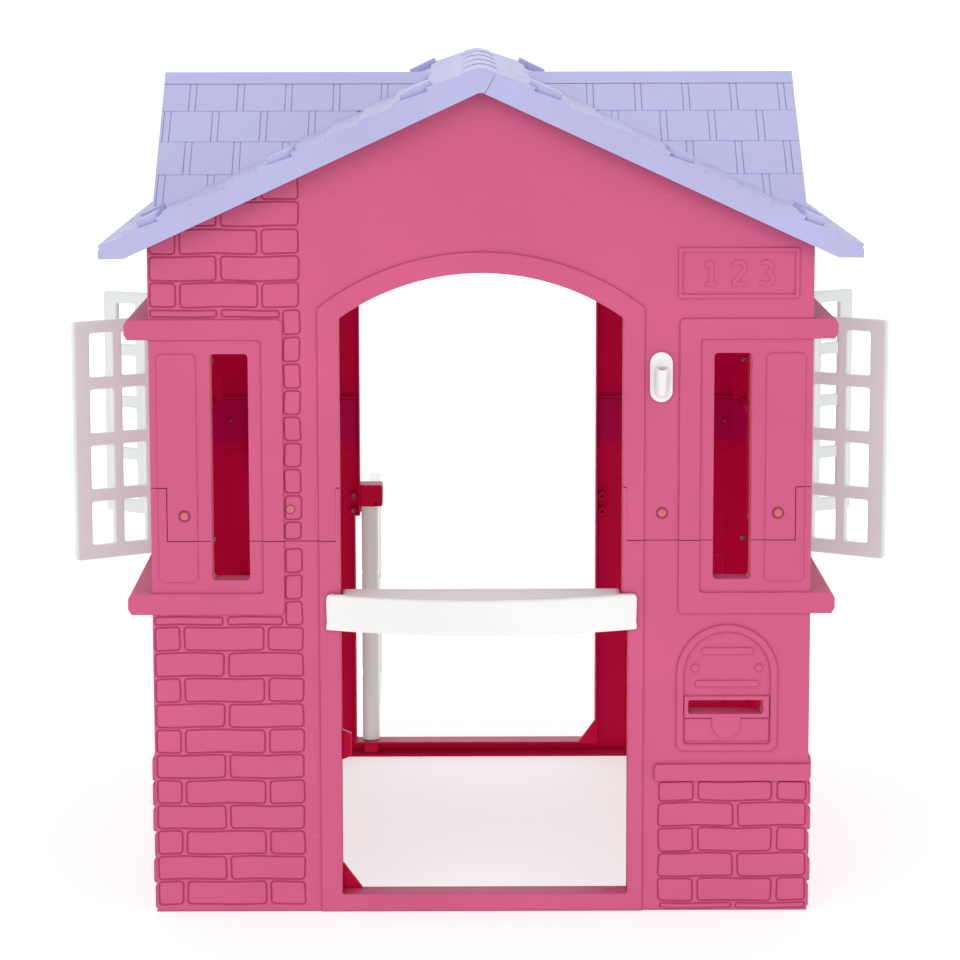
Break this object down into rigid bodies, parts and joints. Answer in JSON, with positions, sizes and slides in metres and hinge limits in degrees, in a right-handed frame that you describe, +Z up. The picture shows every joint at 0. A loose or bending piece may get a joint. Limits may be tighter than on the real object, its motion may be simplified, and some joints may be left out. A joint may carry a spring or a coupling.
{
  "type": "playhouse",
  "caption": "Child-size moulded plastic playhouse with gabled shingle roof, brick-pattern walls, arched doorway with counter, lattice shutters and a hinged half door.",
  "frame": {"origin": "on the floor, at the middle of the rectangle the four walls stand on", "axes": "+Z up, +X to the right across the front, +Y from the front (counter side) to the back (half-door side)"},
  "size_m": [1.2726, 1.385, 1.2675],
  "materials": {
    "wall_plastic": "moulded pink polyethylene, fine satin texture",
    "roof_plastic": "moulded lavender polyethylene, fine satin texture",
    "white_plastic": "moulded white polyethylene, satin",
    "screw_cap": "moulded salmon-pink caps over the panel screws",
    "screw_steel": "zinc-plated pan-head screws"
  },
  "bodies": {
    "house": {"front_wall_lower": "wall_plastic", "front_wall_upper": "wall_plastic", "back_wall_lower": "wall_plastic", "back_wall_upper": "wall_plastic", "left_wall_lower": "wall_plastic", "left_wall_upper": "wall_plastic", "right_wall_lower": "wall_plastic", "right_wall_upper": "wall_plastic", "roof_left": "roof_plastic", "roof_right": "roof_plastic", "counter_shelf": "white_plastic", "flag_holder": "white_plastic", "door_bracket": "wall_plastic", "front_panel_screws": "screw_cap", "back_panel_screws": "screw_cap", "left_panel_screws": "screw_cap", "right_panel_screws": "screw_cap", "corner_screws": "screw_steel", "counter_screws": "screw_steel", "bracket_screws": "screw_steel"},
    "half_door": {"half_door": "white_plastic"},
    "shutter_front_left": {"shutter_front_left": "white_plastic"},
    "shutter_rear_left": {"shutter_rear_left": "white_plastic"},
    "shutter_front_right": {"shutter_front_right": "white_plastic"},
    "shutter_rear_right": {"shutter_rear_right": "white_plastic"}
  },
  "joints": [
    {"name": "half_door_hinge", "type": "hinge", "parent": "house", "child": "half_door", "pos_m": [-0.193, 0.465, 0.24], "axis": [0, 0, 1], "range_deg": [-90, 5]},
    {"name": "shutter_front_left_hinge", "type": "hinge", "parent": "house", "child": "shutter_front_left", "pos_m": [-0.504, -0.153, 0.679], "axis": [0, 0, 1], "range_deg": [-121, 45]},
    {"name": "shutter_rear_left_hinge", "type": "hinge", "parent": "house", "child": "shutter_rear_left", "pos_m": [-0.504, 0.153, 0.679], "axis": [0, 0, 1], "range_deg": [-45, 121]},
    {"name": "shutter_front_right_hinge", "type": "hinge", "parent": "house", "child": "shutter_front_right", "pos_m": [0.504, -0.153, 0.679], "axis": [0, 0, 1], "range_deg": [-45, 121]},
    {"name": "shutter_rear_right_hinge", "type": "hinge", "parent": "house", "child": "shutter_rear_right", "pos_m": [0.504, 0.153, 0.679], "axis": [0, 0, 1], "range_deg": [-121, 45]}
  ]
}
